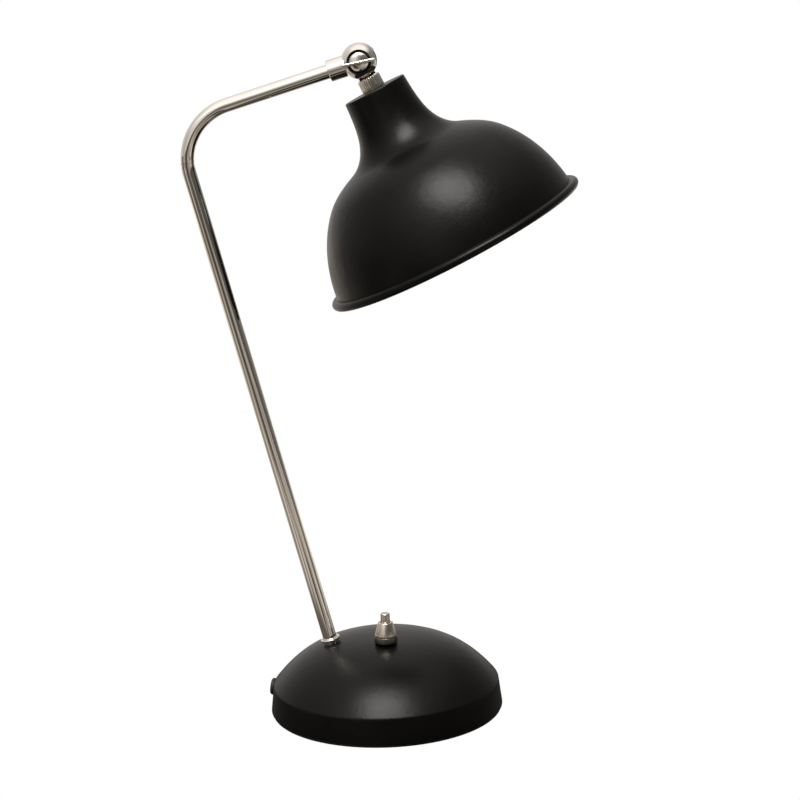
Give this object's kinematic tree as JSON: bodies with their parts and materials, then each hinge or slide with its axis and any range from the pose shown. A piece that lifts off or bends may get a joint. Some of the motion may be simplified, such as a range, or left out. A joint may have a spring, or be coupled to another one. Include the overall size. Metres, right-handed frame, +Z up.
{
  "type": "desk lamp",
  "caption": "Desk lamp with a domed base, a bent nickel tube arm, a ball knuckle with a wing screw and a spun bell shade that tilts.",
  "frame": {"origin": "centre of the base's underside, on the surface that the lamp stands on", "axes": "+Z up; +X the side that the arm and the shade reach over; -Y the front, where the push switch and the wing screw are"},
  "size_m": [0.2778, 0.194, 0.4842],
  "materials": {
    "black_paint": "matt black powder coat",
    "polished_nickel": "polished nickel plate",
    "brushed_nickel": "brushed nickel plate",
    "dark_nickel": "dark knurled nickel",
    "black_rubber": "matt",
    "zinc_steel": "zinc plated",
    "cast_iron": "rough cast",
    "brass": "plain",
    "white_plastic": "satin",
    "black_plastic": "satin",
    "black_fibre": "matt vulcanised fibre",
    "lead_sheath": "matt PVC",
    "opal_glass": "opal",
    "cap_metal": "satin"
  },
  "bodies": {
    "stand": {"base_cover": "black_paint", "foot_pad": "black_rubber", "base_plate": "zinc_steel", "base_weight": "cast_iron", "plate_screw_1": "zinc_steel", "plate_screw_2": "zinc_steel", "plate_screw_3": "zinc_steel", "cord_gland": "black_rubber", "cord_clamp": "black_plastic", "cord_clamp_screw_1": "zinc_steel", "cord_clamp_screw_2": "zinc_steel", "terminal_block": "white_plastic", "earth_tag": "brass", "earth_screw": "brass", "post_tube": "polished_nickel", "post_collar": "polished_nickel", "post_washer": "zinc_steel", "post_nut": "zinc_steel", "post_lead": "lead_sheath", "switch_body": "black_plastic", "switch_nut": "zinc_steel", "switch_base_ring": "dark_nickel", "switch_cone": "brushed_nickel", "switch_spring": "zinc_steel", "switch_lead": "lead_sheath"},
    "knuckle": {"knuckle_ball": "polished_nickel", "grub_screw": "zinc_steel", "friction_washer_front": "black_fibre", "friction_washer_rear": "black_fibre"},
    "head": {"head_neck": "brushed_nickel", "shade": "black_paint", "shade_washer": "zinc_steel", "shade_nut": "brass", "holder_cap": "black_plastic", "holder_body": "black_plastic", "holder_contact": "brass", "holder_sleeve": "brass", "bulb_cap": "cap_metal", "bulb_glass": "opal_glass", "head_lead": "lead_sheath"},
    "thumb_screw": {"thumb_screw": "polished_nickel"},
    "switch_button": {"switch_button": "brushed_nickel"}
  },
  "joints": [
    {"name": "knuckle_swivel", "type": "hinge", "parent": "stand", "child": "knuckle", "pos_m": [-0.00196, 0, 0.47128], "axis": [0.9608, 0, 0.2773], "range_deg": [-60, 60]},
    {"name": "head_tilt", "type": "hinge", "parent": "knuckle", "child": "head", "pos_m": [-0.00196, 0, 0.47128], "axis": [0, -1, 0], "range_deg": [-22, 65]},
    {"name": "thumb_screw_turn", "type": "hinge", "parent": "knuckle", "child": "thumb_screw", "pos_m": [-0.00196, 0, 0.47128], "axis": [0, -1, 0], "range_deg": [0, 360]},
    {"name": "switch_press", "type": "slide", "parent": "stand", "child": "switch_button", "axis": [0, 0, -1], "range_m": [0, 0.003], "stiffness_N_per_m": 600, "springref_m": -0.002, "deforming": ["switch_spring"]}
  ]
}
